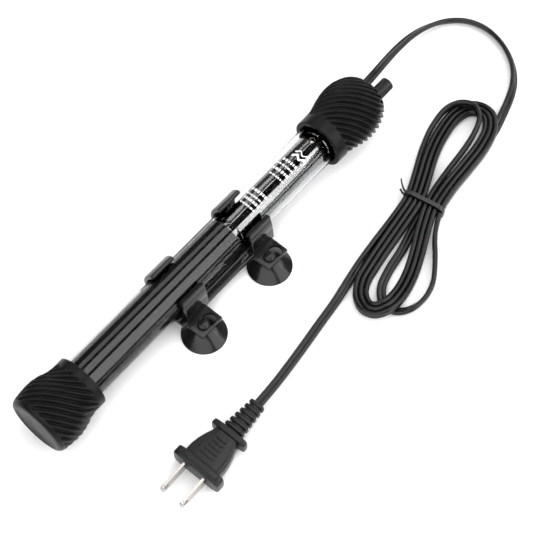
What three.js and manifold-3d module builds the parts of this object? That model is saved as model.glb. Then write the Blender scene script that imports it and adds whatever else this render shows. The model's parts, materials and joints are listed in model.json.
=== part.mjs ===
// Submersible aquarium heater, lying on its side on a flat surface with its cord tied in a hank.
// Millimetres. +X runs along the glass tube towards the temperature knob, +Z is up.
// The origin is under the middle of the heater, on the surface it lies on.
import * as THREE from 'three';
import { mergeVertices } from 'three/addons/utils/BufferGeometryUtils.js';
import Module from 'manifold-3d';

const wasm = await Module();
wasm.setup();

// ---------------------------------------------------------------- driving dimensions
const OVERALL_LENGTH = 273.5; // face of the bottom guard to the tip of the knob
const AXIS_Y = 8.15; // the tube axis lies this far from the middle of the footprint
const AXIS_HEIGHT = 18.4; // tube axis above the surface, which is also the guards' largest radius
const GAP = 0.3; // clearance between pieces that touch

const TUBE = { radius: 11.9, wall: 1.2, bottom: 5, top: 240 };
const SLEEVE = { radius: 10.65, wall: 0.5, bottom: 9.5, top: 142.5 };
const CAN = { radius: 8.7, wall: 0.4, bottom: 143, top: 227.3, lampAt: 212.8, lampHole: 1.7 };
const TAPE = { lift: 0.05, thickness: 0.25, from: 96, to: 113, margin: 0.8 }; // edges in degrees from +Y
const GUARD = { bottomLip: 34, mouth: 217.5, cavity: 9.5, cavityEnd: 251, ribs: 20, grooveDepth: 1.1 };
const RIB_TWIST = 0.085; // radians of twist per millimetre along the tube
const KNOB = { y: -4.3, radius: 4, foot: 253.5, shaft: 1.5, shaftEnd: 226, flutes: 10 };
const SCREW = { radius: 1.2, bottom: 206, top: 225.5 };
const GLAND = { y: 4.8, halfWidth: 3.9, halfHeight: 2.6, inner: 252, outer: 262.9 };
const CORD = { width: 5.2, thickness: 2.8 };

const BRACKET = { start: 91.5, end: 162.5, innerRadius: 12.3, railRadius: 14.6, clipRadius: 14.9 };
const CLIP = { length: 16, starts: [94.8, 146.8], leftTip: 57, rightTip: 144 }; // tips in degrees from +Y
const TAB = { top: -8.9, thickness: 2, root: -15.4, edge: -26.9, before: 5.7, after: 9.9 };
const CUP = { y: -22.3, stations: [98.6, 151], discRadius: 12.4, neckRadius: 2, headRadius: 3.2 };
const KEYHOLE = { entryOffset: 4.6, entryRadius: 3.75, slotHalfWidth: 2.4 };

const PLUG = { x: -100.4, y: -63.6, z: 6.2, bellStart: 4, rear: 27.4, reliefLength: 20.4 };
const BLADE = { spacing: 12.7, length: 17.9, width: 6.35, thickness: 1.5, hole: 1.5, holeFromTip: 3.4 };
const HANK = { bottom: 0.3, top: 12.3 };
const TIE = { x: 94.5, y: -55.2, turn: 9, opening: 23, bottom: 1.2, top: 10, width: 2.4, thickness: 0.8 };

// ---------------------------------------------------------------- materials
function shade(color, roughness, metalness = 0, opacity = 1) {
  return new THREE.MeshStandardMaterial({ color, roughness, metalness, opacity, transparent: opacity < 1 });
}

const MATERIALS = {
  rubber: () => shade(0x24252a, 0.55),
  plastic: () => shade(0x1d1e22, 0.4),
  glass: () => shade(0xdfe6ea, 0.05, 0, 0.3),
  blackSleeve: () => shade(0x0b0b0e, 0.25),
  chrome: () => shade(0xc9cbd0, 0.15, 1),
  steel: () => shade(0x9fa2a6, 0.35, 1),
  brass: () => shade(0xb79a55, 0.35, 1),
  copper: () => shade(0xb06a3c, 0.35, 1),
  ceramic: () => shade(0xe3ddd0, 0.8),
  mica: () => shade(0xb9a27a, 0.6),
  lamp: () => shade(0xe86a2c, 0.2),
  silicone: () => shade(0xb5483a, 0.6),
  wire: () => shade(0x3a3b40, 0.5),
  cord: () => shade(0x3b3c42, 0.45),
  nickel: () => shade(0xd8d2cc, 0.25, 1),
};

// ---------------------------------------------------------------- helpers
const vec = (x, y, z) => new THREE.Vector3(x, y, z);
const degrees = (value) => (value * Math.PI) / 180;

function mesh(name, geometry, material, at = [0, 0, 0]) {
  const piece = new THREE.Mesh(geometry, MATERIALS[material]());
  piece.name = name;
  piece.position.set(...at);
  return piece;
}

// A closed profile of [radius, station] points turned about the tube axis (X).
function turned(profile, segments = 40) {
  const points = profile.map(([radius, station]) => new THREE.Vector2(radius, station));
  return new THREE.LatheGeometry(points, segments).rotateZ(-Math.PI / 2);
}

// A pipe along the tube axis: radii, then where it starts and ends.
function pipe(outer, inner, start, end, segments = 40) {
  return turned([[inner, start], [outer, start], [outer, end], [inner, end], [inner, start]], segments);
}

// A rod along the tube axis, with its centre line moved aside.
function rod(radius, start, end, y = 0, z = 0, segments = 20) {
  const profile = [[0, start], [radius, start], [radius, end], [0, end]];
  return turned(profile, segments).translate(0, y, z);
}

function box(sizeX, sizeY, sizeZ, x, y, z) {
  return new THREE.BoxGeometry(sizeX, sizeY, sizeZ).translate(x, y, z);
}

// A plan outline in X and Y raised from one height to another.
function raised(outline, bottom, top, curveSegments = 8) {
  const options = { depth: top - bottom, bevelEnabled: false, curveSegments };
  return new THREE.ExtrudeGeometry(outline, options).translate(0, 0, bottom);
}

// A cross-section in Y and Z drawn out along X.
function drawn(section, start, end, curveSegments = 12) {
  const options = { depth: end - start, bevelEnabled: false, curveSegments };
  const geometry = new THREE.ExtrudeGeometry(section, options);
  const turnToX = new THREE.Matrix4().makeBasis(vec(0, 1, 0), vec(0, 0, 1), vec(1, 0, 0));
  return geometry.applyMatrix4(turnToX).translate(start, 0, 0);
}

// A round wire through a list of points.
function wire(points, radius, steps, sides = 6) {
  const section = new THREE.Shape().absarc(0, 0, radius, 0, 2 * Math.PI);
  const extrudePath = new THREE.CatmullRomCurve3(points);
  return new THREE.ExtrudeGeometry(section, { steps, extrudePath, curveSegments: sides / 2 });
}

// ---------------------------------------------------------------- boolean work
function solid(geometry) {
  const bare = geometry.index ? geometry.toNonIndexed() : geometry.clone();
  bare.deleteAttribute('normal');
  bare.deleteAttribute('uv');
  const merged = mergeVertices(bare, 1e-4);
  const vertProperties = new Float32Array(merged.attributes.position.array);
  const triVerts = new Uint32Array(merged.index.array);
  return new wasm.Manifold(new wasm.Mesh({ numProp: 3, vertProperties, triVerts }));
}

function geometryOf(manifold) {
  const result = manifold.getMesh();
  const geometry = new THREE.BufferGeometry();
  geometry.setAttribute('position', new THREE.BufferAttribute(new Float32Array(result.vertProperties), 3));
  geometry.setIndex(new THREE.BufferAttribute(new Uint32Array(result.triVerts), 1));
  geometry.computeVertexNormals();
  return geometry;
}

function cut(geometry, ...tools) {
  return geometryOf(tools.reduce((body, tool) => body.subtract(solid(tool)), solid(geometry)));
}

function join(first, ...others) {
  return geometryOf(others.reduce((body, other) => body.add(solid(other)), solid(first)));
}

// ---------------------------------------------------------------- guards
// Diagonal ribs: the groove floors sink between the crests from one station to the other.
function ribbed(geometry, from, to) {
  const { position } = geometry.attributes;
  const fade = 2.5;
  for (let i = 0; i < position.count; i += 1) {
    const [x, y, z] = [position.getX(i), position.getY(i), position.getZ(i)];
    const radius = Math.hypot(y, z);
    const inside = THREE.MathUtils.clamp(Math.min(x - from, to - x) / fade, 0, 1);
    const phase = GUARD.ribs * (Math.atan2(z, y) - RIB_TWIST * (x - from));
    const depth = inside * GUARD.grooveDepth * (0.5 - 0.5 * Math.cos(phase));
    const shrink = radius > depth ? (radius - depth) / radius : 1;
    position.setXYZ(i, x, y * shrink, z * shrink);
  }
  return geometry;
}

const RIB_SEGMENTS = GUARD.ribs * 3;

function bottomGuard() {
  const lip = GUARD.bottomLip;
  const outline = [[0, 0], [14.8, 0], [16.9, 1], [17.7, 3.2], [18.2, 7.5], [18.4, 10.5], [18.4, 13.5],
    [18, 16.5], [17.3, 19.5], [16.2, 22.5], [15.5, 25.5], [15.3, 28.5], [15.3, lip - 1], [14.7, lip],
    [0, lip]];
  const pocket = rod(TUBE.radius + GAP, 3.4, lip + 1, 0, 0, 40);
  return cut(ribbed(turned(outline, RIB_SEGMENTS), 3.2, 29), pocket);
}

function topGuard() {
  const mouth = GUARD.mouth;
  const outline = [[0, mouth], [14.2, mouth], [15, mouth + 1.5], [15.1, 228], [15.9, 231], [16.9, 234.5],
    [17.7, 238], [18.3, 241.5], [18.4, 244.5], [18.4, 248], [17.9, 251.5], [17.1, 254.5], [15.5, 257.5],
    [12.4, 260.3], [8, 262.1], [0, 262.8]];
  const body = ribbed(turned(outline, RIB_SEGMENTS), 227, 261);
  const pocket = rod(TUBE.radius + GAP, mouth - 1, TUBE.top + GAP, 0, 0, 40);
  const cavity = rod(GUARD.cavity, TUBE.top, GUARD.cavityEnd, 0, 0, 40);
  const knobHole = rod(KNOB.radius + GAP, GUARD.cavityEnd - 1, OVERALL_LENGTH, KNOB.y, 0, 24);
  return cut(body, pocket, cavity, knobHole, glandShape(GUARD.cavityEnd - 1, OVERALL_LENGTH, GAP));
}

// Flat oval bar that fills the cord slot of the top guard.
function glandShape(start, end, extra = 0) {
  const height = GLAND.halfHeight + extra;
  const half = GLAND.halfWidth - GLAND.halfHeight;
  const section = new THREE.Shape();
  section.absarc(GLAND.y + half, 0, height, -Math.PI / 2, Math.PI / 2);
  section.absarc(GLAND.y - half, 0, height, Math.PI / 2, (3 * Math.PI) / 2);
  return drawn(section, start, end, 8);
}

// ---------------------------------------------------------------- glass tube and what closes it
function glassTube() {
  const { radius, wall, bottom, top } = TUBE;
  const corner = 3.4;
  const outer = [];
  const inner = [];
  const steps = 3;
  for (let i = 0; i <= steps; i += 1) {
    const angle = (i / steps) * (Math.PI / 2);
    const reach = [Math.sin(angle), 1 - Math.cos(angle)];
    outer.push([radius - corner + corner * reach[0], bottom + corner * reach[1]]);
    const hollow = corner - wall;
    inner.unshift([radius - corner + hollow * reach[0], bottom + wall + hollow * reach[1]]);
  }
  const rim = [[radius, top], [radius - wall, top]];
  return turned([[0, bottom], ...outer, ...rim, ...inner, [0, bottom + wall]]);
}

function sealStopper() {
  const { radius, wall, top } = TUBE;
  const body = rod(radius - wall - GAP, 228, top - 0.5, 0, 0, 40);
  const shaftHole = rod(KNOB.shaft + GAP, 227, top, KNOB.y, 0, 20);
  const leadHoles = [-1.7, 1.7].map((side) => rod(1.2, 227, top, GLAND.y + side, 0, 12));
  return cut(body, shaftHole, ...leadHoles);
}

function lampWindow() {
  const { radius, lampAt, lampHole } = CAN;
  const window = new THREE.CylinderGeometry(lampHole, lampHole, radius, 16);
  return window.rotateX(Math.PI / 2).translate(lampAt, 0, radius);
}

function thermostatCan() {
  const { radius, wall, bottom, top } = CAN;
  return cut(pipe(radius, radius - wall, bottom, top), lampWindow());
}

// Strip of tape along the can, beside the lamp's window.
function canTape() {
  const inner = CAN.radius + TAPE.lift;
  const [from, to] = [degrees(TAPE.from), degrees(TAPE.to)];
  const section = new THREE.Shape();
  section.absarc(0, 0, inner + TAPE.thickness, from, to, false);
  section.absarc(0, 0, inner, to, from, true);
  return cut(drawn(section, CAN.bottom + TAPE.margin, CAN.top - TAPE.margin, 6), lampWindow());
}

// A closed ring of round section about the tube axis direction.
function ring(majorRadius, minorRadius, station, y = 0) {
  const torus = new THREE.TorusGeometry(majorRadius, minorRadius, 6, 16);
  return torus.rotateY(Math.PI / 2).translate(station, y, 0);
}

function closure() {
  const { radius, wall, bottom, top } = SLEEVE;
  return [
    mesh('glass_tube', glassTube(), 'glass'),
    mesh('bottom_guard', bottomGuard(), 'rubber'),
    mesh('top_guard', topGuard(), 'rubber'),
    mesh('bottom_cushion', rod(9, 3.7, TUBE.bottom - GAP, 0, 0, 32), 'silicone'),
    mesh('inner_sleeve', pipe(radius, radius - wall, bottom, top), 'blackSleeve'),
    mesh('thermostat_can', thermostatCan(), 'chrome'),
    mesh('can_tape', canTape(), 'blackSleeve'),
    mesh('seal_stopper', sealStopper(), 'silicone'),
    mesh('spindle_seal', ring(KNOB.shaft + GAP + 0.6, 0.6, TUBE.top + 0.8, KNOB.y), 'silicone'),
    mesh('cord_gland', glandShape(GLAND.inner, GLAND.outer), 'rubber'),
  ];
}

// ---------------------------------------------------------------- temperature knob
// The grip's fluted section, with one scallop per flute.
function knobSection() {
  const section = new THREE.Shape();
  const steps = KNOB.flutes * 4;
  for (let i = 0; i < steps; i += 1) {
    const angle = (i / steps) * 2 * Math.PI;
    const radius = KNOB.radius - 0.25 + 0.25 * Math.cos(KNOB.flutes * angle);
    section[i ? 'lineTo' : 'moveTo'](radius * Math.cos(angle), radius * Math.sin(angle));
  }
  return section;
}

function temperatureKnob() {
  const grip = drawn(knobSection(), KNOB.foot, OVERALL_LENGTH);
  return join(grip, rod(KNOB.shaft, KNOB.shaftEnd, KNOB.foot + 1)).translate(0, KNOB.y, 0);
}

// ---------------------------------------------------------------- thermostat inside the can
function thermostatFrame() {
  const plate = box(67, 9, 0.8, 182.5, 0, -5.5);
  const screwLug = box(1.2, 9, 9, 215.4, 0, -1.4);
  return cut(join(plate, screwLug), rod(SCREW.radius + GAP, 213, 218, KNOB.y));
}

function thermostat() {
  return [
    mesh('thermostat_frame', thermostatFrame(), 'steel'),
    mesh('insulator_block', box(9, 8, 4.2, 158, 0, -2.7), 'ceramic'),
    mesh('bimetal_strip', box(41.4, 3.6, 0.5, 183.5, 0, -1.6), 'brass'),
    mesh('leaf_post', box(8, 6, 1.5, 158, 0, 0.45), 'ceramic'),
    mesh('contact_leaf', box(45, 3.6, 0.4, 179.5, 0, 1.7), 'copper'),
    mesh('lower_contact', contactButton(-0.6), 'nickel'),
    mesh('upper_contact', contactButton(0.7), 'nickel'),
    mesh('snap_magnet', box(3.5, 4, 1.5, 203.6, 0, -4.05), 'ceramic'),
    mesh('set_lever', box(1, 2.6, 8, 204.8, KNOB.y, -0.6), 'steel'),
    mesh('adjusting_screw', rod(SCREW.radius, SCREW.bottom, SCREW.top, KNOB.y), 'brass'),
    mesh('indicator_lamp', lampGeometry(), 'lamp'),
    mesh('lamp_resistor', rod(0.9, 192, 198, 4.6, 4.2, 12), 'mica'),
  ];
}

// Round silver contact, face up or down on the strips' centre line.
function contactButton(height) {
  return new THREE.CylinderGeometry(1.1, 1.1, 0.9, 14).rotateX(Math.PI / 2).translate(199, 0, height);
}

// Small glow lamp standing under its window, with a domed tip.
function lampGeometry() {
  const profile = [[0, 2.4], [1.3, 2.4], [1.3, 6.4], [0.9, 7.2], [0, 7.6]];
  const points = profile.map(([radius, height]) => new THREE.Vector2(radius, height));
  return new THREE.LatheGeometry(points, 14).rotateX(Math.PI / 2).translate(CAN.lampAt, 0, 0);
}

// ---------------------------------------------------------------- heating element inside the sleeve
const ELEMENT = { core: 5.2, bore: 1.6, start: 21, end: 126, coil: 6.3, wire: 0.45, turns: 11 };

function heatingCoil() {
  const points = [];
  const perTurn = 10;
  for (let i = 0; i <= ELEMENT.turns * perTurn; i += 1) {
    const angle = (i / perTurn) * 2 * Math.PI;
    const along = THREE.MathUtils.lerp(ELEMENT.start + 4, ELEMENT.end - 4, i / (ELEMENT.turns * perTurn));
    points.push(vec(along, ELEMENT.coil * Math.cos(angle), ELEMENT.coil * Math.sin(angle)));
  }
  return wire(points, ELEMENT.wire, points.length - 1, 4);
}

function element() {
  const leadHole = rod(1, 127, 132, 0, 7.4, 12);
  const leadRoute = [vec(131, 0, 7.4), vec(126, 0, 7.4), vec(72, 0, 7.9), vec(24, 0, 7.4)];
  return [
    mesh('ceramic_core', pipe(ELEMENT.core, ELEMENT.bore, ELEMENT.start, ELEMENT.end, 24), 'ceramic'),
    mesh('heating_coil', heatingCoil(), 'steel'),
    mesh('core_rod', rod(ELEMENT.bore - GAP, 15, 133, 0, 0, 14), 'steel'),
    mesh('lower_spacer', pipe(9.4, ELEMENT.bore, 17, 18.6, 32), 'mica'),
    mesh('upper_spacer', cut(pipe(9.4, ELEMENT.bore, 128.5, 130.1, 32), leadHole), 'mica'),
    mesh('thermal_fuse', rod(1.6, 133.5, 141, 3.8, 0, 16), 'nickel'),
    mesh('heat_shield', rod(CAN.radius - CAN.wall - GAP, 144.4, 145.2, 0, 0, 32), 'steel'),
    mesh('element_lead', wire(leadRoute, 0.5, 12), 'wire'),
  ];
}

function leads() {
  const inner = GLAND.inner - GAP;
  const sides = { live_lead: 1.7, neutral_lead: -1.7 };
  return Object.entries(sides).map(([name, side]) => {
    const y = GLAND.y + side;
    const route = [vec(inner, y, 0), vec(240, y, 0), vec(226, y, 0), vec(219, y, 0.6)];
    return mesh(name, wire(route, 0.8, 10), 'wire');
  });
}

// ---------------------------------------------------------------- bracket and suction cups
// Pie slice about the tube axis, from one angle down round the back to the other.
function wrap(outerRadius, fromDegrees, toDegrees) {
  const section = new THREE.Shape();
  section.absarc(0, 0, outerRadius, degrees(fromDegrees), degrees(toDegrees + 360), false);
  section.lineTo(0, 0);
  return section;
}

function polygon(corners) {
  return new THREE.Shape(corners.map(([y, z]) => new THREE.Vector2(y, z)));
}

// Flat shelf along the rail, which carries the tabs.
function shelf() {
  const [top, foot] = [TAB.top + 0.4, TAB.top - TAB.thickness - 0.1];
  const corners = [[TAB.root, top], [TAB.root, foot], [-9, foot], [-9, top]];
  return drawn(polygon(corners), BRACKET.start, BRACKET.end);
}

// Upright side of a clip, from the shelf to its thick tip.
function clipSide(start) {
  const foot = TAB.top - TAB.thickness;
  const corners = [[-13.3, 8.6], [-15.2, -4], [TAB.root - 0.1, TAB.top], [TAB.root - 0.1, foot],
    [-9, foot], [-6, -6], [-6, 4.36], [-9.95, 7.23]];
  return drawn(polygon(corners), start, start + CLIP.length);
}

function tab(station) {
  const [start, end] = [station - TAB.before, station + TAB.after];
  const corner = 0.9;
  const plan = new THREE.Shape();
  plan.moveTo(start, TAB.root + 1.5);
  plan.lineTo(start, TAB.edge + corner);
  plan.absarc(start + corner, TAB.edge + corner, corner, Math.PI, 1.5 * Math.PI);
  plan.absarc(end - corner, TAB.edge + corner, corner, 1.5 * Math.PI, 2 * Math.PI);
  plan.lineTo(end, TAB.root + 1.5);
  plan.holes.push(keyhole(station));
  return raised(plan, TAB.top - TAB.thickness, TAB.top, 6);
}

// Round entry hole that runs into a slot with a round end, where the cup's neck sits.
function keyhole(station) {
  const { entryOffset, entryRadius, slotHalfWidth } = KEYHOLE;
  const meet = Math.asin(slotHalfWidth / entryRadius);
  const hole = new THREE.Path();
  hole.absarc(station + entryOffset, CUP.y, entryRadius, Math.PI + meet, 3 * Math.PI - meet);
  hole.absarc(station, CUP.y, slotHalfWidth, 0.5 * Math.PI, 1.5 * Math.PI);
  return hole;
}

function bracket() {
  const rail = drawn(wrap(BRACKET.railRadius, 214, -20), BRACKET.start, BRACKET.end, 8);
  const clips = CLIP.starts.map((start) => {
    return drawn(wrap(BRACKET.clipRadius, CLIP.rightTip, CLIP.leftTip), start, start + CLIP.length, 9);
  });
  const sides = CLIP.starts.map(clipSide);
  const whole = join(rail, shelf(), ...clips, ...sides, ...CUP.stations.map(tab));
  return cut(whole, rod(BRACKET.innerRadius, BRACKET.start - 1, BRACKET.end + 1, 0, 0, 40));
}

// Button, neck and hollow cone of a suction cup, standing on the surface.
function suctionCup() {
  const floor = -AXIS_HEIGHT;
  const { discRadius, neckRadius, headRadius } = CUP;
  const underTab = TAB.top - TAB.thickness - GAP;
  const overTab = TAB.top + GAP;
  const profile = [[0, floor + 4.7], [4.2, floor + 4.4], [8.6, floor + 2.2], [discRadius - 1, floor],
    [discRadius - 0.2, floor], [discRadius, floor + 0.7], [9.2, floor + 3.3], [5.6, floor + 6],
    [3.6, underTab], [neckRadius, underTab], [neckRadius, overTab], [headRadius, overTab],
    [headRadius - 0.3, overTab + 1.2], [headRadius - 1.6, overTab + 1.9], [0, overTab + 2.1]];
  const points = profile.map(([radius, height]) => new THREE.Vector2(radius, height));
  return new THREE.LatheGeometry(points, 28).rotateX(Math.PI / 2);
}

function mounting() {
  const names = ['suction_cup_lower', 'suction_cup_upper'];
  const cups = CUP.stations.map((station, i) => {
    return mesh(names[i], suctionCup(), 'rubber', [station, CUP.y, 0]);
  });
  return [mesh('bracket', bracket(), 'plastic'), ...cups];
}

// ---------------------------------------------------------------- cord, hank and plug, in the object's frame
const ARC_ROUTE = [[126.6, 12.95, 18.4], [137, 13.5, 18.2], [150, 15.2, 16], [164, 17.1, 12.2],
  [178, 18, 8],
  [191, 16.4, 4.6], [202, 11.4, 2.8], [209.2, 3, 2.8], [212.3, -7.5, 2.8], [211.2, -18, 2.8],
  [207, -28.5, 2.8], [200.4, -37.5, 2.8], [191.5, -44.5, 2.8], [181.5, -49, 2.8], [171.6, -52, 2.8]];
const TAIL_ROUTE = [[17.6, -55.8, 2.8], [4, -57.4, 2.8], [-10, -59.2, 2.9], [-24, -61.2, 4.5],
  [-38, -62.9, 5.9],
  [-51.8, -63.6, 6.2]];

function cordTube(name, route, steps) {
  const half = (CORD.width - CORD.thickness) / 2;
  const section = new THREE.Shape();
  section.absarc(half, 0, CORD.thickness / 2, -Math.PI / 2, Math.PI / 2);
  section.absarc(-half, 0, CORD.thickness / 2, Math.PI / 2, 1.5 * Math.PI);
  const extrudePath = new THREE.CatmullRomCurve3(route.map((point) => vec(...point)));
  const geometry = new THREE.ExtrudeGeometry(section, { steps, extrudePath, curveSegments: 2 });
  return mesh(name, geometry, 'cord');
}

// Outline of the hank as it lies: a wide bow, a waist under the tie and a narrower bow.
function hankSolid() {
  const bows = [[94.5, -42.6], [111, -35], [127, -27.6], [143, -24], [157, -26], [166.5, -34], [168.6, -45],
    [163, -55.4], [148, -61.4], [126, -64.4], [108, -66], [94.5, -67.8], [80, -77], [62, -90.6], [45, -92.6],
    [28, -87.6], [18.2, -77], [18.2, -63], [25, -53.6], [46, -49], [72, -45.4]];
  const route = new THREE.CatmullRomCurve3(bows.map(([x, y]) => vec(x, y, 0)), true, 'centripetal');
  const corners = route.getPoints(56).slice(0, -1);
  const outline = new THREE.Shape(corners.map(({ x, y }) => new THREE.Vector2(x, y)));
  return cut(raised(outline, HANK.bottom, HANK.top), tieShape(GAP, 8));
}

// Rectangular band about the waist, grown by a clearance all round and outwards by a reach.
function tieShape(clearance, reach) {
  const band = TIE.thickness + reach;
  const middle = (TIE.bottom + TIE.top) / 2;
  const height = TIE.top - TIE.bottom;
  const thickness = TIE.width + 2 * clearance;
  const outer = box(thickness, TIE.opening + 2 * band, height + 2 * band, 0, 0, middle);
  const hole = box(thickness + 2, TIE.opening - 2 * clearance, height - 2 * clearance, 0, 0, middle);
  return cut(outer, hole).rotateZ(degrees(TIE.turn)).translate(TIE.x, TIE.y, 0);
}

// Bell-shaped grip between two flanges, and the tapering strain relief behind it.
function plugBody() {
  const { x, y, z, bellStart, rear, reliefLength } = PLUG;
  const [frontHalf, rearHalf] = [11.2, 7];
  const bell = new THREE.Shape();
  bell.moveTo(bellStart, -frontHalf);
  bell.quadraticCurveTo(rear * 0.6, -frontHalf + 0.6, rear, -rearHalf);
  bell.lineTo(rear, rearHalf);
  bell.quadraticCurveTo(rear * 0.6, frontHalf - 0.6, bellStart, frontHalf);
  const taper = [[rear - 1, -6.2], [rear + reliefLength, -4.4], [rear + reliefLength, 4.4], [rear - 1, 6.2]];
  const relief = new THREE.Shape(taper.map(([along, aside]) => new THREE.Vector2(along, aside)));
  const whole = join(
    box(5.4, 29.4, 2 * z, 2.7, 0, 0),
    raised(bell, 1 - z, z - 1),
    box(3.6, 21.6, 2 * z - 2, rear - 1.2, 0, 0),
    raised(relief, -3.2, 3.2),
  );
  return whole.translate(x, y, z);
}

// Flat blade standing on edge, with a round hole near its rounded tip.
function bladeGeometry(side) {
  const half = BLADE.width / 2;
  const shoulder = BLADE.length - 2.4;
  const profile = new THREE.Shape();
  profile.moveTo(-GAP, -half);
  profile.lineTo(-shoulder, -half);
  profile.quadraticCurveTo(-BLADE.length, -half, -BLADE.length, 0);
  profile.quadraticCurveTo(-BLADE.length, half, -shoulder, half);
  profile.lineTo(-GAP, half);
  const hole = new THREE.Path();
  hole.absarc(BLADE.holeFromTip - BLADE.length, 0, BLADE.hole, 0, 2 * Math.PI);
  profile.holes.push(hole);
  const blade = raised(profile, -BLADE.thickness / 2, BLADE.thickness / 2, 6).rotateX(Math.PI / 2);
  return blade.translate(PLUG.x, PLUG.y + (side * BLADE.spacing) / 2, PLUG.z);
}

function cordSet() {
  return [
    cordTube('cord_arc', ARC_ROUTE, 34),
    cordTube('cord_tail', TAIL_ROUTE, 12),
    mesh('cord_hank', hankSolid(), 'cord'),
    mesh('cord_tie', tieShape(0, 0), 'plastic'),
    mesh('plug_body', plugBody(), 'cord'),
    mesh('plug_blade_left', bladeGeometry(1), 'nickel'),
    mesh('plug_blade_right', bladeGeometry(-1), 'nickel'),
  ];
}

// ---------------------------------------------------------------- assembly
// Everything on the tube is placed by its distance from the face of the bottom guard.
const heater = new THREE.Group();
heater.position.set(-OVERALL_LENGTH / 2, AXIS_Y, AXIS_HEIGHT);
heater.add(...closure(), mesh('temperature_knob', temperatureKnob(), 'plastic'));
heater.add(...thermostat(), ...element(), ...leads(), ...mounting());

const part = new THREE.Group();
part.add(heater, ...cordSet());

export default part;
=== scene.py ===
# Submersible aquarium heater with its bracket and tied cord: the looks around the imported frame.
# The frame is in metres. Shapes below are written in millimetres and scaled once, when a mesh is made.
# Tube parts use the distance s from the face of the bottom guard, along +X, and y and z from the tube axis.
import json
import math

import bmesh
import bpy
import numpy as np
from mathutils import Matrix, Vector

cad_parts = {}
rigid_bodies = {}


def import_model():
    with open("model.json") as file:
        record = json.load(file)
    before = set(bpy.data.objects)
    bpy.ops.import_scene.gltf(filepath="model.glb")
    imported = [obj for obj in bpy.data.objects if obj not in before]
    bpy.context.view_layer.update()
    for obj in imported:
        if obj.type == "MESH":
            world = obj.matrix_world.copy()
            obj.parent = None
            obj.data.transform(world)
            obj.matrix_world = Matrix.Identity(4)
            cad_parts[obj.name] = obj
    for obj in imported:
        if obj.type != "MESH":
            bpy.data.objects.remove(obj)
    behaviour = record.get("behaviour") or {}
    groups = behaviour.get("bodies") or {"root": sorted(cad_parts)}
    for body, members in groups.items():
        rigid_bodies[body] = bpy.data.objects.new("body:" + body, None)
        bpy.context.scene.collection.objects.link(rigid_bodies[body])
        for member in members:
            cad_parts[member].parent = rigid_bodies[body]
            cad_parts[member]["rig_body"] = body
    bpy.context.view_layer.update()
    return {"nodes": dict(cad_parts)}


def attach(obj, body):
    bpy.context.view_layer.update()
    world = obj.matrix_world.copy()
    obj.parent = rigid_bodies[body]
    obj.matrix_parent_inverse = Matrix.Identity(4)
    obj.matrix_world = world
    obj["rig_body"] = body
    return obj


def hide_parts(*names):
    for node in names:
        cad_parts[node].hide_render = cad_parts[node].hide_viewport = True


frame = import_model()

MM = 0.001
AXIS = np.array([-136.75, 8.15, 18.4])  # where s, y and z of the tube parts start
TUBE = {"radius": 11.9, "wall": 1.2, "bottom": 5.0, "top": 240.0, "corner": 3.4}


# ---------------------------------------------------------------- camera
CAMERA = {
    "at": (-0.2846, -0.28465, 0.72984),
    "looks_at": (0.01293, -0.01311, 0.0),
    "roll": -2.18,
    "lens": 105.7,
    "sensor": 36.0,
}


def make_camera():
    """A pinhole camera at the photograph's viewing angle."""
    data = bpy.data.cameras.new("view")
    data.sensor_width = CAMERA["sensor"]
    data.lens = CAMERA["lens"]
    camera = bpy.data.objects.new("view", data)
    bpy.context.scene.collection.objects.link(camera)
    aim = Vector(CAMERA["looks_at"]) - Vector(CAMERA["at"])
    turn = aim.to_track_quat("-Z", "Y").to_matrix() @ Matrix.Rotation(math.radians(CAMERA["roll"]), 3, "Z")
    camera.matrix_world = Matrix.Translation(CAMERA["at"]) @ turn.to_4x4()
    bpy.context.scene.camera = camera


make_camera()


# ---------------------------------------------------------------- curves
POINTS_PER_GAP = 24  # on a smooth curve, before its points are spread evenly


def through(points, step, smooth=0):
    """Points at even steps along the smooth curve through the given ones.

    Columns after the third ride along.
    """
    points = np.array(points, float)
    gaps = np.linalg.norm(np.diff(points[:, :3], axis=0), axis=1)[:, None]
    slopes = np.diff(points, axis=0) / gaps
    inner = (slopes[:-1] * gaps[1:] + slopes[1:] * gaps[:-1]) / (gaps[:-1] + gaps[1:])
    tangents = np.vstack([slopes[:1], inner, slopes[-1:]])
    dense = []
    for i, gap in enumerate(gaps):
        t = np.linspace(0, 1, POINTS_PER_GAP, endpoint=False)[:, None]
        dense.append(
            (2 * t**3 - 3 * t**2 + 1) * points[i]
            + (t**3 - 2 * t**2 + t) * gap * tangents[i]
            + (3 * t**2 - 2 * t**3) * points[i + 1]
            + (t**3 - t**2) * gap * tangents[i + 1]
        )
    dense = np.vstack([*dense, points[-1:]])
    for _ in range(smooth):
        dense[1:-1] = (dense[:-2] + 2 * dense[1:-1] + dense[2:]) / 4
    return evened(dense, step)


def evened(points, step):
    """The same polyline with its points at even steps."""
    gaps = np.linalg.norm(np.diff(points[:, :3], axis=0), axis=1)
    along = np.concatenate([[0], np.cumsum(gaps)])
    wanted = np.linspace(0, along[-1], max(2, round(along[-1] / step) + 1))
    return np.stack([np.interp(wanted, along, column) for column in points.T], axis=1)


def filleted(points, radius, steps=5, closed=False):
    """The same outline with its corners rounded."""
    points = [np.array(p, float) for p in points]
    count = len(points)
    rounded = []
    for i, corner in enumerate(points):
        if not closed and i in (0, count - 1):
            rounded.append(corner)
            continue
        before, after = points[i - 1] - corner, points[(i + 1) % count] - corner
        reach = min(radius, 0.48 * np.linalg.norm(before), 0.48 * np.linalg.norm(after))
        start = corner + before / np.linalg.norm(before) * reach
        end = corner + after / np.linalg.norm(after) * reach
        for t in np.linspace(0, 1, steps):
            rounded.append((1 - t) ** 2 * start + 2 * t * (1 - t) * corner + t**2 * end)
    return np.array(rounded)


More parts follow.
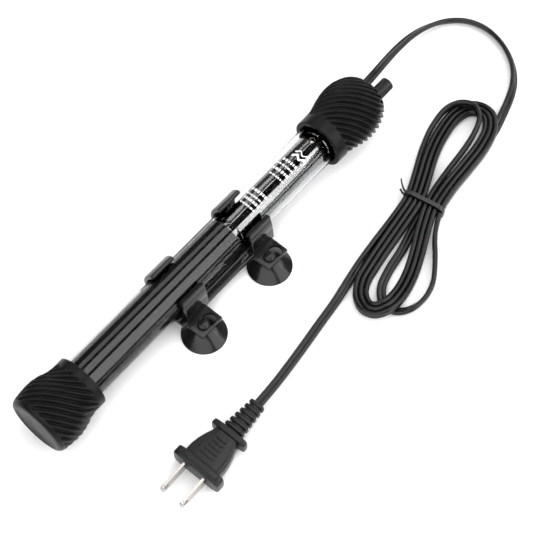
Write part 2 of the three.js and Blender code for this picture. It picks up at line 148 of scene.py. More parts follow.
def arc(radius, start, end, steps):
    """Points on a circle about the origin, from one angle to another, in degrees."""
    angles = np.radians(np.linspace(start, end, steps))
    return np.stack([radius * np.cos(angles), radius * np.sin(angles)], axis=1)


# ---------------------------------------------------------------- meshes
def skin(rings, closed=False):
    """A closed surface over rings of points: the last ring joins the first, or both ends are capped."""
    rings = np.array(rings, float)
    count, around = rings.shape[:2]
    mesh = bpy.data.meshes.new("skin")
    rows = range(count if closed else count - 1)
    faces = [
        (i * around + j, i * around + (j + 1) % around, ((i + 1) % count) * around + (j + 1) % around,
         ((i + 1) % count) * around + j)
        for i in rows
        for j in range(around)
    ]
    if not closed:
        faces.append(tuple(range(around))[::-1])
        faces.append(tuple((count - 1) * around + j for j in range(around)))
    mesh.from_pydata((rings.reshape(-1, 3) * MM).tolist(), [], faces)
    return tidied(mesh)


def tidied(mesh, merge=2e-6, outwards=True):
    """Merges doubled points, drops flat faces and turns all faces outwards."""
    bm = bmesh.new()
    bm.from_mesh(mesh)
    bmesh.ops.remove_doubles(bm, verts=bm.verts, dist=merge)
    bmesh.ops.dissolve_degenerate(bm, dist=merge / 2, edges=bm.edges)
    if outwards:
        bmesh.ops.recalc_face_normals(bm, faces=bm.faces)
        if bm.calc_volume(signed=True) < 0:
            bmesh.ops.reverse_faces(bm, faces=bm.faces)
    bm.to_mesh(mesh)
    bm.free()
    return mesh


def turned(profile, segments=96, shape=None):
    """Rings of a profile of (radius, s) points turned about the tube axis. shape may change their radii."""
    angles = np.linspace(0, 2 * math.pi, segments, endpoint=False)
    profile = np.array(profile, float)
    radius = np.repeat(profile[:, :1], segments, axis=1)
    station = np.repeat(profile[:, 1:], segments, axis=1)
    if shape is not None:
        radius = shape(radius, station, angles)
    rings = np.stack([station, radius * np.cos(angles), radius * np.sin(angles)], axis=2)
    return rings + AXIS


def upright(profile, centre, segments=72):
    """Rings of a profile of (radius, height) points turned about a vertical line."""
    angles = np.linspace(0, 2 * math.pi, segments, endpoint=False)
    rings = [
        np.stack([radius * np.cos(angles), radius * np.sin(angles), np.full(segments, height)], axis=1)
        for radius, height in profile
    ]
    return np.array(rings) + np.array([centre[0], centre[1], 0.0])


def shrunk(outline, distance):
    """The outline moved inwards by a distance."""
    outline = np.array(outline, float)
    ahead = np.roll(outline, -1, axis=0) - outline
    ahead /= np.linalg.norm(ahead, axis=1)[:, None]
    x, y = outline.T
    area = np.sum(x * np.roll(y, -1) - y * np.roll(x, -1))
    inward = np.column_stack([-ahead[:, 1], ahead[:, 0]]) * np.sign(area)
    before = np.roll(inward, 1, axis=0)
    corner = (inward + before) / (1 + np.sum(inward * before, axis=1))[:, None]
    return outline + corner * distance


def prism(outline, start, end, edge=0.0, axis="X"):
    """A flat outline drawn out along X, or raised along Z, with rounded edges at both ends."""
    turns = np.radians([0, 30, 60, 90]) if edge else [math.pi / 2]
    rows = [(start + edge * (1 - math.cos(turn)), edge * (1 - math.sin(turn))) for turn in turns]
    rows += [(end + start - along, inset) for along, inset in rows[::-1]]
    rings = []
    for along, inset in rows:
        flat = shrunk(outline, inset)
        station = np.full(len(flat), along)
        rings.append(np.column_stack([station, flat] if axis == "X" else [flat, station]))
    return skin(rings)


def combined(first, others, operation):
    """One clean solid from a boolean of closed meshes."""
    scene = bpy.context.scene
    body = bpy.data.objects.new("body", first)
    scene.collection.objects.link(body)
    tools = []
    for mesh in others:
        tool = bpy.data.objects.new("tool", mesh)
        scene.collection.objects.link(tool)
        modifier = body.modifiers.new("boolean", "BOOLEAN")
        modifier.object = tool
        modifier.operation = operation
        modifier.solver = "EXACT"
        tools.append(tool)
    evaluated = body.evaluated_get(bpy.context.evaluated_depsgraph_get())
    result = bpy.data.meshes.new_from_object(evaluated)
    for helper in [body, *tools]:
        bpy.data.objects.remove(helper)
    return tidied(result, merge=1e-6, outwards=False)


def piece(name, mesh, nodes, look, body=None, sharp=35):
    """A finished piece in place of CAD nodes: it rides on their body and gets the given material."""
    nodes = [nodes] if isinstance(nodes, str) else nodes
    mesh.name = name
    mesh.materials.clear()
    mesh.materials.append(look)
    mesh.polygons.foreach_set("use_smooth", [True] * len(mesh.polygons))
    mesh.set_sharp_from_angle(angle=math.radians(sharp))
    made = bpy.data.objects.new(name, mesh)
    bpy.context.scene.collection.objects.link(made)
    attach(made, body or frame["nodes"][nodes[0]]["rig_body"])
    if body is None:
        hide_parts(*nodes)
    return made


# ---------------------------------------------------------------- materials
class Nodes:
    """Short calls for the nodes of one material."""

    def __init__(self, name):
        self.material = bpy.data.materials.new(name)
        self.material.use_nodes = True
        self.tree = self.material.node_tree
        self.shader = self.tree.nodes["Principled BSDF"]
        self.place = self.tree.nodes.new("ShaderNodeTexCoord").outputs["Object"]

    def link(self, value, socket):
        """Links an output to a socket, or sets the socket to a plain value."""
        if hasattr(value, "is_linked"):
            self.tree.links.new(value, socket)
        else:
            socket.default_value = value

    def noise(self, scale, detail=3.0, stretch=None, seed=0.0):
        """Noise from 0 to 1. Scale is in cells per metre, and stretch makes it longer along an axis."""
        mapping = self.tree.nodes.new("ShaderNodeMapping")
        mapping.inputs["Scale"].default_value = stretch or (1, 1, 1)
        mapping.inputs["Location"].default_value = (seed, seed, seed)
        self.tree.links.new(self.place, mapping.inputs["Vector"])
        node = self.tree.nodes.new("ShaderNodeTexNoise")
        node.inputs["Scale"].default_value = scale
        node.inputs["Detail"].default_value = detail
        self.tree.links.new(mapping.outputs["Vector"], node.inputs["Vector"])
        return node.outputs["Fac"]

    def between(self, value, low, high, start=0.3, end=0.7):
        """Carries a value from start..end over to low..high."""
        node = self.tree.nodes.new("ShaderNodeMapRange")
        node.inputs["From Min"].default_value = start
        node.inputs["From Max"].default_value = end
        node.inputs["To Min"].default_value = low
        node.inputs["To Max"].default_value = high
        self.link(value, node.inputs["Value"])
        return node.outputs["Result"]

    def blend(self, value, first, second):
        """A colour between two, by a value from 0 to 1."""
        node = self.tree.nodes.new("ShaderNodeMix")
        node.data_type = "RGBA"
        self.link(value, node.inputs["Factor"])
        for socket, colour in (("A", first), ("B", second)):
            target = next(s for s in node.inputs if s.name == socket and s.type == "RGBA")
            self.link(colour if hasattr(colour, "is_linked") else (*colour, 1.0), target)
        return next(s for s in node.outputs if s.type == "RGBA")

    def math(self, operation, first, second=0.0):
        """The result of one Math node."""
        node = self.tree.nodes.new("ShaderNodeMath")
        node.operation = operation
        self.link(first, node.inputs[0])
        self.link(second, node.inputs[1])
        return node.outputs[0]

    def bump(self, height, depth):
        """Relief as deep as depth millimetres where the height goes from 0 to 1."""
        node = self.tree.nodes.new("ShaderNodeBump")
        node.inputs["Strength"].default_value = 1.0
        node.inputs["Distance"].default_value = depth * MM
        self.link(height, node.inputs["Height"])
        self.tree.links.new(node.outputs["Normal"], self.shader.inputs["Normal"])

    def set(self, **sockets):
        """Links or sets the shader's inputs, with _ for each space in their names."""
        for name, value in sockets.items():
            self.link(value, self.shader.inputs[name.replace("_", " ")])


BROAD_CELLS = 14  # how many times larger the broad variation is than the fine one


def mottled(name, dark, light, roughness, metallic=0.0, cell=0.6, relief=0.01, stretch=None, **extra):
    """A surface whose relief varies in cells of about the given millimetres, and its colour in broad ones."""
    nodes = Nodes(name)
    fine = nodes.noise(1000 / cell, 2.0, stretch)
    broad = nodes.noise(1000 / (cell * BROAD_CELLS), 4.0, stretch, 3.0)
    nodes.set(Base_Color=nodes.blend(nodes.between(broad, 0, 1), dark, light))
    uneven = nodes.math("ADD", broad, nodes.math("MULTIPLY", fine, 0.35))
    nodes.set(Roughness=nodes.between(uneven, *roughness, start=0.45, end=0.9))
    nodes.set(Metallic=metallic, **extra)
    nodes.bump(fine, relief)
    return nodes.material


def grey(value, warmth=0.0):
    """A grey, warmer above 0 and cooler below."""
    return (value * (1 + warmth), value, value * (1 - warmth))


CORD_RIBS = {"count": 30, "middle": 0.25, "reach": 0.2, "weight": 0.6}  # shares of the way round the section


def cord_look():
    """Soft black vinyl with fine ribs on one of the two conductors."""
    nodes = Nodes("cord_vinyl")
    uv = nodes.tree.nodes.new("ShaderNodeSeparateXYZ")
    nodes.tree.links.new(nodes.tree.nodes.new("ShaderNodeTexCoord").outputs["UV"], uv.inputs["Vector"])
    ribs = nodes.math("SINE", nodes.math("MULTIPLY", uv.outputs["X"], 2 * math.pi * CORD_RIBS["count"]))
    from_middle = nodes.math("ABSOLUTE", nodes.math("SUBTRACT", uv.outputs["X"], CORD_RIBS["middle"]))
    ribbed_part = nodes.math("LESS_THAN", from_middle, CORD_RIBS["reach"])
    fine = nodes.noise(1400, 2.0)
    broad = nodes.noise(90, 3.0, None, 5.0)
    nodes.set(Base_Color=nodes.blend(nodes.between(broad, 0, 1), grey(0.003, -0.06), grey(0.005, -0.05)))
    nodes.set(Roughness=nodes.between(broad, 0.13, 0.2), Specular_IOR_Level=0.32)
    ribbing = nodes.math("MULTIPLY", nodes.math("MULTIPLY", ribs, ribbed_part), CORD_RIBS["weight"])
    nodes.bump(nodes.math("ADD", ribbing, fine), 0.035)
    return nodes.material


GLASS_INDEX = 1.04  # real glass has about 1.5: this keeps its own reflections weak, and the sleeve shows them


def glass_look():
    """Clear tube glass with the faintest waviness."""
    nodes = Nodes("clear_glass")
    nodes.set(Base_Color=(0.985, 0.995, 0.99, 1.0), IOR=GLASS_INDEX, Transmission_Weight=1.0)
    nodes.set(Roughness=nodes.between(nodes.noise(160, 3.0), 0.0, 0.008))
    nodes.bump(nodes.noise(30, 0.0, (0.1, 1, 1)), 0.00005)
    return nodes.material


def print_look():
    """White ink on the glass, a little uneven."""
    nodes = Nodes("white_ink")
    nodes.set(Base_Color=nodes.blend(nodes.between(nodes.noise(1800, 3.0), 0, 1), grey(0.62), grey(0.82)))
    nodes.set(Roughness=nodes.between(nodes.noise(700, 2.0), 0.35, 0.55))
    nodes.bump(nodes.noise(2600, 2.0), 0.01)
    return nodes.material


LOOKS = {
    "rubber": mottled("guard_rubber", grey(0.0035), grey(0.006), (0.32, 0.42), cell=0.45, relief=0.015,
                      Specular_IOR_Level=0.12),
    "cup_rubber": mottled("cup_rubber", grey(0.005, -0.04), grey(0.009, -0.04), (0.14, 0.22), cell=0.5,
                          relief=0.006, Specular_IOR_Level=0.28),
    "plastic": mottled("bracket_plastic", grey(0.004), grey(0.007), (0.14, 0.21), cell=0.35, relief=0.004,
                       Specular_IOR_Level=0.35),
    "knob": mottled("knob_plastic", grey(0.005), grey(0.008), (0.24, 0.34), cell=0.35, relief=0.010,
                    Specular_IOR_Level=0.22),
    "sleeve": mottled("gloss_black", grey(0.003), grey(0.005), (0.03, 0.06), cell=1.2, relief=0.0001,
                      Specular_IOR_Level=0.45),
    # Near-black, almost matt strip for the can: a painted reflection of a dark thing mirrored in the metal.
    "tape": mottled("painted_reflection_black", grey(0.002), grey(0.004), (0.40, 0.52), cell=0.6, relief=0.004,
                    Specular_IOR_Level=0.05),
    "chrome": mottled("bright_metal", grey(0.16), grey(0.21), (0.12, 0.18), 1.0, cell=0.8, relief=0.0006,
                      stretch=(0.3, 1, 1)),
    "steel": mottled("steel", grey(0.34), grey(0.46), (0.28, 0.42), 1.0, cell=0.5, relief=0.006),
    "nickel": mottled("nickel", grey(0.36, 0.05), grey(0.50, 0.06), (0.20, 0.34), 1.0, cell=0.35,
                      relief=0.006, stretch=(0.15, 1, 1)),
    "brass": mottled("brass", (0.42, 0.30, 0.10), (0.56, 0.42, 0.16), (0.28, 0.42), 1.0, cell=0.4,
                     relief=0.006),
    "copper": mottled("copper", (0.42, 0.19, 0.09), (0.58, 0.28, 0.14), (0.26, 0.40), 1.0, cell=0.4,
                      relief=0.006),
    "ceramic": mottled("ceramic", (0.66, 0.62, 0.54), (0.78, 0.74, 0.66), (0.7, 0.9), cell=0.3, relief=0.02),
    "mica": mottled("mica", (0.36, 0.28, 0.17), (0.50, 0.41, 0.26), (0.4, 0.6), cell=1.0, relief=0.01),
    "silicone": mottled("silicone", (0.30, 0.06, 0.04), (0.42, 0.09, 0.06), (0.45, 0.6), cell=0.6,
                        relief=0.012),
    "lamp": mottled("lamp_glass", (0.80, 0.66, 0.56), (0.90, 0.82, 0.76), (0.05, 0.12), cell=0.5,
                    relief=0.003),
    "wire": mottled("wire_jacket", grey(0.02), grey(0.035), (0.4, 0.55), cell=0.4, relief=0.01),
    "tie": mottled("tie_plastic", grey(0.006), grey(0.010), (0.30, 0.42), cell=0.4, relief=0.01),
    "plug": mottled("plug_vinyl", grey(0.005, -0.03), grey(0.009, -0.03), (0.26, 0.36), cell=0.4,
                    relief=0.012, Specular_IOR_Level=0.25),
    "cord": cord_look(),
    "glass": glass_look(),
    "print": print_look(),
}

# ---------------------------------------------------------------- cord
CORD = {"width": 5.2, "thickness": 2.8, "web": 0.9, "lobe": 125}  # web is half its thickness, lobe in degrees
FLAT, ON_EDGE, LEANING = -90.0, 0.0, -25.0
TIE = {
    "x": 94.5, "y": -55.2, "turn": 9.0,
    "opening": 23.0, "bottom": 1.2, "top": 10.0,
    "width": 2.4, "thickness": 0.8,
    "shoulder": (3.4, 1.6), "corner": 2.6,
}
HANK_TURN = 11.0
CROSSING = {"height": 6.9, "drop": 1.3}
LANE = 2.9  # from one strand to the next, side by side on edge
OUTER_LANE = 3.5 * LANE

# x, y, z of the cord's middle from the top guard to the hank, and from the hank to the plug.
ARC_ROUTE = [
    (126.6, 12.95, 18.4), (137, 13.5, 18.2), (150, 15.2, 16), (164, 17.1, 12.2), (178, 18, 8),
    (191, 16.4, 4.6), (202, 11.4, 2.8), (209.2, 3, 2.8), (212.3, -7.5, 2.8), (211.2, -18, 2.8),
    (207, -28.5, 2.8), (200.4, -37.5, 2.8), (191.5, -44.5, 2.8), (181.5, -49, 2.8), (171.6, -52, 2.8),
]
TAIL_ROUTE = [
    (17.6, -55.8, 2.8), (4, -57.4, 2.8), (-10, -59.2, 2.9), (-24, -61.2, 4.5), (-38, -62.9, 5.9),
    (-51.8, -63.6, 6.2),
]

# The hank's own frame has u along it from the tie towards the wide bow, and v across it.
# Outermost strand of each bow as (u, v, z), on the way from one side of the tie to the other.
WIDE_BOW = [
    (14, -10.3, 6.0), (32, -12.6, 5.7), (50, -14.4, 5.7), (62, -13, 5.7), (70.8, -7.4, 5.2), (74, 0.8, 3.6),
    (71.4, 8.4, 3.0), (63, 13.4, 3.0), (48, 15.2, 3.0), (32, 14, 3.4), (14, 10, 5.2),
]
NARROW_BOW = [
    (-14, 8, 5.4), (-30, 9.4, 3.6), (-46, 10.2, 3.0), (-58, 9.8, 3.0), (-67.5, 5.8, 3.2), (-72.6, -1, 3.8),
    (-72.2, -8, 4.8), (-66, -14, 5.8), (-55, -16.4, 4.6), (-42, -16, 3.2), (-28, -13.4, 3.6),
    (-14, -9.8, 5.4),
]
FRONT_BOW = [
    (14, -1.2, 6.0), (28, -2.2, 5.4), (40, -3.6, 5.8), (53, -4.3, 7.6), (63.2, -2.4, 9.5), (68, 3.6, 9.4),
    (67, 10.4, 8.6), (61, 16, 7.6), (50, 18.6, 4.8), (32, 17.2, 3.4), (14, 13, 4.4),
]
UNDER_STRAND = [
    (62, -12.3, 1.6), (45, -10.5, 1.6), (28, -8, 1.7), (12, -4.5, 2.3), (0, -2, 2.7), (-14, -1.5, 2.2),
    (-30, -2, 1.6), (-44, -1.6, 1.6), (-55, -3, 1.6), (-62.6, -8.6, 1.6), (-63.6, -15.5, 1.8),
]
LONE_BOW = [(-60.5, -21, 2.5), (-53.5, -25, 2.8), (-42, -26, 2.8), (-27, -20.5, 2.9), (-13, -13.4, 3.8)]
LOOSE_END = [(-14, 11, 4.4), (-30, 12.6, 3.4), (-46.6, 13.6, 2.8), (-62, 14, 2.1)]


def in_hank(points, turn=HANK_TURN):
    """Points in the hank's own frame, carried over to the object's."""
    points = np.array(points, float)
    c, s = math.cos(math.radians(turn)), math.sin(math.radians(turn))
    x = TIE["x"] + points[:, 0] * c - points[:, 1] * s
    y = TIE["y"] + points[:, 0] * s + points[:, 1] * c
    return np.column_stack([x, y, points[:, 2]])


def tie_crossing(v):
    """Where a strand passes under the tie: the outer strands sit a little lower."""
    return (0.0, v, CROSSING["height"] - CROSSING["drop"] * (abs(v) / OUTER_LANE) ** 4)


def inset(bow, distance):
    """The same bow with its points moved towards its middle."""
    bow = np.array(bow, float)
    along = np.gradient(bow[:, :2], axis=0)
    along /= np.linalg.norm(along, axis=1)[:, None]
    inward = np.column_stack([-along[:, 1], along[:, 0]])
    return np.column_stack([bow[:, :2] + inward * distance, bow[:, 2]])


def hank_strand():
    """The whole hank from one end to the other: it winds inwards, then crosses over itself and leaves."""
    left = [OUTER_LANE - LANE * i for i in range(4)]
    right = [-LANE / 2 - LANE * i for i in range(4)]
    points = [*UNDER_STRAND, *LONE_BOW]
    for depth in range(3):
        points += [tie_crossing(right[3 - depth]), *inset(WIDE_BOW, LANE * depth)]
        points += [tie_crossing(left[1 + depth]), *inset(NARROW_BOW, LANE * depth)]
    points += [tie_crossing(right[0]), *FRONT_BOW, tie_crossing(left[0]), *LOOSE_END]
    return in_hank(points)


def cord_path(step=1.2):
    """The cord's middle line with its lean in degrees: 0 stands on edge and -90 lies flat."""
    hank = hank_strand()
    under = len(UNDER_STRAND)
    lean_arc = np.interp(np.arange(len(ARC_ROUTE)), [0, 3, 6, 11, 14], [FLAT, -70, LEANING, LEANING, -80])
    lean_hank = np.full(len(hank), ON_EDGE)
    lean_hank[:under] = FLAT
    lean_hank[under - 1: under + 2] = [-75, -50, -20]
    lean_hank[-3:] = [-12, -45, -80]
    lean_tail = np.full(len(TAIL_ROUTE), FLAT)
    places = np.vstack([ARC_ROUTE, hank, TAIL_ROUTE])
    leans = np.concatenate([lean_arc, lean_hank, lean_tail])
    return through(np.column_stack([places, leans]), step, smooth=30)


def cord_section(steps=11):
    """Outline of the twin flat cord: two round conductors and the web between them."""
    radius = CORD["thickness"] / 2
    aside = CORD["width"] / 2 - radius
    lobe = arc(radius, -CORD["lobe"], CORD["lobe"], steps)
    near = lobe + [aside, 0]
    far = -lobe - [aside, 0]
    return np.vstack([near, [[0, CORD["web"]]], far, [[0, -CORD["web"]]]])


def swept(path, section):
    """Rings of a section carried along a path. The fourth column is the lean of its long side."""
    along = np.gradient(path[:, :3], axis=0)
    along /= np.linalg.norm(along, axis=1)[:, None]
    side = np.cross(np.array([0.0, 0.0, 1.0]), along)
    side /= np.linalg.norm(side, axis=1)[:, None]
    top = np.cross(along, side)
    lean = np.radians(path[:, 3])[:, None]
    long_side = np.cos(lean) * top + np.sin(lean) * side
    short_side = np.cross(along, long_side)
    return (path[:, None, :3] + section[None, :, :1] * long_side[:, None]
            + section[None, :, 1:] * short_side[:, None])


def section_uv(mesh, around, length):
    """UV with U once round the section and V in metres along the cord."""
    layer = mesh.uv_layers.new(name="along")
    index = np.zeros(len(mesh.loops), int)
    mesh.loops.foreach_get("vertex_index", index)
    rings = len(mesh.vertices) / around
    uv = np.column_stack([(index % around) / around, index // around * length / rings])
    for polygon in mesh.polygons:
        loops = list(polygon.loop_indices)
        if len(loops) == 4 and uv[loops, 0].max() - uv[loops, 0].min() > 0.5:
            for loop in loops:
                uv[loop, 0] += 1.0 if uv[loop, 0] < 0.5 else 0.0
    layer.data.foreach_set("uv", uv.ravel())


def make_cord():
    """The flexible lead, with its middle line and its length in metres."""
    path = cord_path()
    section = cord_section()
    mesh = skin(swept(path, section))
    length = float(np.linalg.norm(np.diff(path[:, :3], axis=0), axis=1).sum()) * MM
    section_uv(mesh, len(section), length)
    flex = piece("power_cord", mesh, ["cord_arc", "cord_hank", "cord_tail"], LOOKS["cord"], sharp=60)
    return flex, path[:, :3] * MM, length


# ---------------------------------------------------------------- tie
def tie_path():
    """The tie's band round the hank, seen along the hank: across and up."""
    half = TIE["opening"] / 2 + TIE["thickness"] / 2
    low, high = TIE["bottom"] - TIE["thickness"] / 2, TIE["top"] + TIE["thickness"] / 2
    wide, deep = TIE["shoulder"]
    corners = [(-half, low), (half, low), (half, high - deep), (half - wide, high), (wide - half, high),
               (-half, high - deep)]
    return filleted(corners, TIE["corner"], 8, closed=True)


def ribbon(points, width, thickness):
    """A flat ribbon with a wire core, swept along points with its width along the hank."""
    across = np.array([math.cos(math.radians(TIE["turn"])), math.sin(math.radians(TIE["turn"])), 0.0])
    along = np.gradient(points, axis=0)
    along /= np.linalg.norm(along, axis=1)[:, None]
    normal = np.cross(along, across)
    half, thin, core = width / 2, thickness * 0.22, thickness / 2
    near = half * 0.4  # where the thin edge swells into the core
    section = [(-half, -thin), (-near, -thin), (0, -core), (near, -thin), (half, -thin),
               (half, thin), (near, thin), (0, core), (-near, thin), (-half, thin)]
    return np.array([[p + a * across + b * n for a, b in section] for p, n in zip(points, normal)])


# The tie's two ends: along the hank, out from the side of the band, and height.
TIE_ENDS = [
    [(0.6, 0, 7.4), (1.6, 1.4, 7.2), (4.4, 4, 6.4), (7.6, 6.4, 5.8)],
    [(-0.6, 0, 6.6), (-0.4, 1.2, 6.6), (0.8, 2.6, 6.2), (1.6, 3.6, 5.4)],
]


def make_tie():
    """A band round the hank with its two ends beside it."""
    loop = in_hank([(0.0, v, z) for v, z in tie_path()], TIE["turn"])
    band = skin(ribbon(loop, TIE["width"], TIE["thickness"]), closed=True)
    side = TIE["opening"] / 2 + TIE["thickness"] / 2
    ends = []
    for rows in TIE_ENDS:
        line = through(in_hank([(u, side + out, z) for u, out, z in rows], TIE["turn"]), 0.6)
        ends.append(skin(ribbon(line, TIE["width"] * 0.6, TIE["thickness"])))
    mesh = combined(band, ends, "UNION")
    return piece("twist_tie", mesh, "cord_tie", LOOKS["tie"])


# ---------------------------------------------------------------- plug
PLUG = {"x": -100.4, "y": -63.6, "z": 6.2}
# The plug's body: distance from its face, half width, half height and squareness.
PLUG_STATIONS = [
    (0.0, 13.6, 5.2, 5), (0.25, 14.3, 5.8, 5), (0.8, 14.7, 6.2, 5), (4.6, 14.7, 6.2, 5),
    (5.2, 14.4, 5.9, 5), (5.5, 13.6, 5.3, 5), (5.6, 11.6, 4.9, 5), (6.2, 11.2, 4.7, 5),
    (10, 11.1, 4.7, 5), (14, 10.5, 4.65, 5), (18, 9.3, 4.55, 5), (21.5, 7.9, 4.4, 5),
    (24.0, 7.2, 4.3, 5), (24.3, 9.6, 4.8, 5), (24.5, 10.5, 5.1, 5), (24.9, 10.8, 5.2, 5),
    (27.0, 10.8, 5.2, 5), (27.4, 10.5, 5.0, 5), (27.6, 9.6, 4.6, 5), (27.7, 6.0, 3.4, 4),
]
# Its strain relief: each half measure at the first ring, and how much less it is at the last.
RELIEF = {"start": 27.7, "end": 47.8, "rings": 6, "lip": 0.3, "slim_height": 2.3}
RELIEF_TAPER = {"width": (5.9, 1.5), "height": (3.4, 0.6), "slim_width": (4.0, 0.8)}
GRIP = {
    "count": 5, "first": 9.4, "pitch": 2.7,
    "half_length": 4.4, "taper": 0.35, "half_width": 0.55, "corner": 0.5,
    "lift": 4.5, "half_height": 0.8, "edge": 0.25,
}


def relief_ring(ring):
    """Stations of one ring of the strain relief, from the slim neck before it to its far edge."""
    pitch = (RELIEF["end"] - RELIEF["start"]) / RELIEF["rings"]
    start = RELIEF["start"] + ring * pitch
    share = ring / (RELIEF["rings"] - 1)
    wide, high, slim = (first - less * share for first, less in RELIEF_TAPER.values())
    lip = (wide - RELIEF["lip"], high - RELIEF["lip"], 4)
    neck = (slim, RELIEF["slim_height"], 3)
    return [
        (start + 0.1, *neck),
        (start + 0.3 * pitch, *neck),
        (start + 0.36 * pitch, *lip),
        (start + 0.46 * pitch, wide, high, 4),
        (start + 0.86 * pitch, wide, high, 4),
        (start + 0.96 * pitch, *lip),
    ]


def rounded_ring(along, half_width, half_height, squareness, segments=64):
    """A ring round the plug's axis, from an oval at squareness 2 to nearly a box."""
    angles = np.linspace(0, 2 * math.pi, segments, endpoint=False)
    c, s = np.cos(angles), np.sin(angles)
    y = half_width * np.sign(c) * np.abs(c) ** (2 / squareness)
    z = half_height * np.sign(s) * np.abs(s) ** (2 / squareness)
    return np.column_stack([np.full(segments, along), y, z]) + np.array([PLUG["x"], PLUG["y"], PLUG["z"]])


def grip_rib(number, side):
    """One rib across the plug's flat side, on top at 1 and below at -1."""
    centre = GRIP["first"] + number * GRIP["pitch"]
    reach = GRIP["half_length"] - GRIP["taper"] * number
    before, after = centre - GRIP["half_width"], centre + GRIP["half_width"]
    corners = [(before, -reach), (after, -reach), (after, reach), (before, reach)]
    outline = filleted(corners, GRIP["corner"], 5, closed=True) + [PLUG["x"], PLUG["y"]]
    middle = PLUG["z"] + side * GRIP["lift"]
    return prism(outline, middle - GRIP["half_height"], middle + GRIP["half_height"], GRIP["edge"], axis="Z")


def make_plug():
    """The moulded body with its strain relief and its grip ribs on both sides."""
    stations = list(PLUG_STATIONS)
    for ring in range(RELIEF["rings"]):
        stations += relief_ring(ring)
    body = skin([rounded_ring(*station) for station in stations])
    ribs = [grip_rib(number, side) for side in (-1, 1) for number in range(GRIP["count"])]
    mesh = combined(body, ribs, "UNION")
    return piece("plug_shell", mesh, "plug_body", LOOKS["plug"], sharp=40)


cord, cord_line, cord_length = make_cord()
tie = make_tie()
plug = make_plug()


# ---------------------------------------------------------------- guards
GUARD = {
    "ribs": 20, "groove": 1.7, "sharpness": 1.2, "twist": 0.085, "fade": 2.6,
    "bore": 12.2, "lip": 0.7, "tube_stop": 240.5,
    "cavity": 9.5, "cavity_end": 253, "holes": (250, 275),
}
BOTTOM_RIBS = (2.4, 29.5)
TOP_RIBS = (224.5, 260.5)
KNOB = {
    "y": -4.3, "radius": 4.0, "foot": 253.5, "tip": 273.5, "corner": 0.7,
    "dish": 2.4, "dish_at": 273.3, "shaft": 1.5, "shaft_start": 226,
    "flutes": 10, "flute_depth": 0.42, "flute_end": 272.9, "clearance": 0.45,
}
GLAND = {"y": 4.8, "half_width": 3.9, "half_height": 2.6, "inner": 252.0, "outer": 262.9}
BOTTOM_OUTLINE = [(14.4, 0.0), (16.2, 0.5), (17.1, 1.6), (17.7, 3.6), (18.2, 7.5), (18.4, 10.5), (18.4, 13.5),
                  (18, 16.5), (17.3, 19.5), (16.2, 22.5), (15.55, 25.5), (15.3, 28.5), (15.3, 32.6)]
TOP_OUTLINE = [(15.05, 219.4), (15.1, 224), (15.25, 228), (15.9, 231), (16.9, 234.5), (17.7, 238),
               (18.3, 241.5), (18.4, 244.5), (18.2, 248), (17.5, 251.2), (16.4, 254.3), (14.8, 257.3),
               (12.0, 260.1), (8, 262), (0, 262.8)]


def ribs_between(start, end):
    """Sinks diagonal grooves with rounded ends into the part of a guard between two stations."""

    def shape(radius, station, angles):
        inside = np.clip(np.minimum(station - start, end - station) / GUARD["fade"], 0, 1)
        inside = np.sqrt(1 - (1 - inside) ** 2) * (radius > TUBE["radius"] + 1)
        phase = GUARD["ribs"] * (angles - GUARD["twist"] * (station - start))
        groove = (0.5 - 0.5 * np.cos(phase)) ** GUARD["sharpness"]
        return radius - inside * GUARD["groove"] * groove

    return shape


def make_bottom_guard():
    """Ribbed cap with a slightly sunk end face and a rounded lip."""
    outer = through(BOTTOM_OUTLINE, 0.35)
    bore = GUARD["bore"]
    lip = filleted([outer[-1], (15.3, 34), (bore, 34), (bore, 31)], GUARD["lip"], 6)[1:]
    profile = np.vstack([[(0, 0.35), (13.2, 0.35), (13.7, 0.1)], outer, lip, [(bore, 3.4), (0, 3.4)]])
    mesh = skin(turned(profile, 360, ribs_between(*BOTTOM_RIBS)))
    return piece("bottom_guard_rubber", mesh, "bottom_guard", LOOKS["rubber"], sharp=60)


def oval(half_width, half_height, y):
    """Outline of the gland's flat oval, across and up."""
    straight = half_width - half_height
    near = arc(half_height, -90, 90, 16) + [y + straight, 0]
    far = arc(half_height, 90, 270, 16) + [y - straight, 0]
    return np.vstack([near, far])


def make_top_guard():
    """Hollow ribbed bulb with a hole for the knob and one for the cord's bush."""
    outer = through(TOP_OUTLINE, 0.35)[:-1]
    bore, cavity, cavity_end, stop = (GUARD[key] for key in ("bore", "cavity", "cavity_end", "tube_stop"))
    lip = filleted([(bore, 221), (bore, 217.5), (15.05, 217.5), outer[0]], GUARD["lip"], 6)[:-1]
    inner = [(0, cavity_end), (cavity, cavity_end), (cavity, stop), (bore, stop)]
    profile = np.vstack([inner, lip, outer, TOP_OUTLINE[-1:]])
    body = skin(turned(profile, 360, ribs_between(*TOP_RIBS)))
    hole = arc(KNOB["radius"] + KNOB["clearance"], 0, 360, 49)[:-1] + [KNOB["y"], 0]
    slot = oval(GLAND["half_width"] + 0.2, GLAND["half_height"] + 0.2, GLAND["y"])
    start, end = (station + AXIS[0] for station in GUARD["holes"])
    tools = [prism(outline + AXIS[1:], start, end) for outline in (hole, slot)]
    mesh = combined(body, tools, "DIFFERENCE")
    return piece("top_guard_rubber", mesh, "top_guard", LOOKS["rubber"], sharp=60)


def make_gland():
    """Oval bush round the cord where it leaves the top guard."""
    outline = oval(GLAND["half_width"], GLAND["half_height"], GLAND["y"]) + AXIS[1:]
    mesh = prism(outline, GLAND["inner"] + AXIS[0], GLAND["outer"] + AXIS[0], 0.4)
    return piece("cord_bush", mesh, "cord_gland", LOOKS["rubber"])


